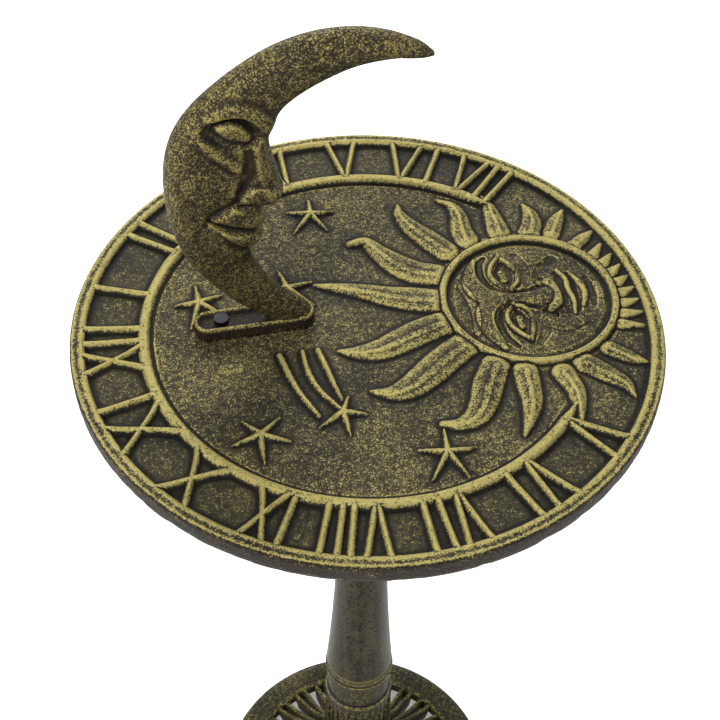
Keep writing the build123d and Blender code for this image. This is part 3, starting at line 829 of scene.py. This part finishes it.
moon_piece = lattice(
    "gnomon_moon", moon_grid, (False, True), lambda grid: grid - heart, gains=(1.1, 0.45), spans=(3, 14),
    extra={"bare_and_shade": np.zeros(moon_grid.shape[:2])})

# the foot: a round-ended bar with softly rounded upper edges
foot_length, foot_width, foot_top = 49.0, 12.0, 3.7
foot_middle = -45.0
outline = np.linspace(0, 2 * math.pi, 200, endpoint=False)[:, None]
straight = (foot_length - foot_width) / 2
steps = np.array([
    (0.0, foot_top - 1.5), (0.35, foot_top - 1.45), (0.58, foot_top - 1.3), (0.70, foot_top - 0.75),
    (0.78, foot_top - 0.15), (0.86, foot_top), (0.93, foot_top - 0.2), (0.98, foot_top - 0.7),
    (1.0, foot_top - 1.6), (1.0, 1.0), (1.01, -1.0), (1.02, -2.6), (0, -2.6)])
# painted shade: the middle of the foot's top, which lies in the moon's shadow, and the foot's sides down to
# the plate are painted near-black through this mask
foot_shade_mask = np.where((steps[:, 0] < 0.6) | (steps[:, 1] < foot_top - 1), 4.0, 0.0)
foot_shade_mask = np.broadcast_to(foot_shade_mask[None, :], (200, len(steps)))
reach = steps[None, :, 0] * foot_width / 2
foot_x = foot_middle + np.clip(np.cos(outline) * 4, -1, 1) * straight + reach * np.cos(outline)
foot_y = gnomon_middle + reach * np.sin(outline)
foot_z = rim + np.broadcast_to(steps[None, :, 1], foot_x.shape)
foot_piece = lattice(
    "gnomon_foot", np.stack((foot_x, foot_y, foot_z), -1), (True, False),
    lambda grid: (grid[..., 2:] - rim - 0.5) * np.array((0, 0, 1)),
    gains=(2.6, 0.2), spans=(1, 3), extra={"bare_and_shade": foot_shade_mask})

gnomon_finish = brushed_iron(
    "gnomon_patina", (0.012, 0.0095, 0.006, 1), (0.044, 0.034, 0.016, 1), (0.30, 0.25, 0.085, 1),
    lift=0.04, grain=1500, depth=0.0006, panels_and_shade=True)
for piece in (moon_piece, foot_piece):
    piece.data.materials.append(gnomon_finish)
    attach(piece, "dial")
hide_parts("gnomon")


# ---------------------------------------------------------------------------
# Fasteners: screws, tie rod, nuts and washers in dulled zinc-plated steel.
steel, shader, place = new_material("dull_steel")
tree = place.tree
smear = place.node("ShaderNodeTexNoise", Vector=place, Scale=260.0, Detail=4.0, Roughness=0.6)
stain = place.node("ShaderNodeTexNoise", Vector=place, Scale=90.0, Detail=3.0)
metal = smear.between(0.3, 0.75).blend((0.16, 0.155, 0.145, 1), (0.36, 0.35, 0.33, 1))
metal = stain.between(0.55, 0.75).blend(metal, (0.11, 0.075, 0.045, 1))
tree.links.new(metal.socket, shader.inputs["Base Color"])
tree.links.new((smear * 0.3 + 0.3).socket, shader.inputs["Roughness"])
shader.inputs["Metallic"].default_value = 0.85
bump = place.node("ShaderNodeBump", Height=smear, Strength=0.3, Distance=0.0002)
tree.links.new(bump.socket, shader.inputs["Normal"])
for node in ("gnomon_washers", "tie_rod", "jam_nut", "lock_washer", "base_nut", "base_washer"):
    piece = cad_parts[node]
    piece.data.materials.clear()
    piece.data.materials.append(steel)

# painted shade: the gnomon's screws sit in the moon's shadow on the foot, so they are given a near-black
# colour
dark_steel = steel.copy()
dark_steel.name = "steel_in_painted_shade"
for link in list(dark_steel.node_tree.links):
    if link.to_socket.name in ("Base Color", "Metallic"):
        dark_steel.node_tree.links.remove(link)
dark_shader = dark_steel.node_tree.nodes["Principled BSDF"]
dark_shader.inputs["Base Color"].default_value = (0.012, 0.013, 0.014, 1)
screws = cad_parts["gnomon_screws"]
screws.data.materials.clear()
screws.data.materials.append(dark_steel)
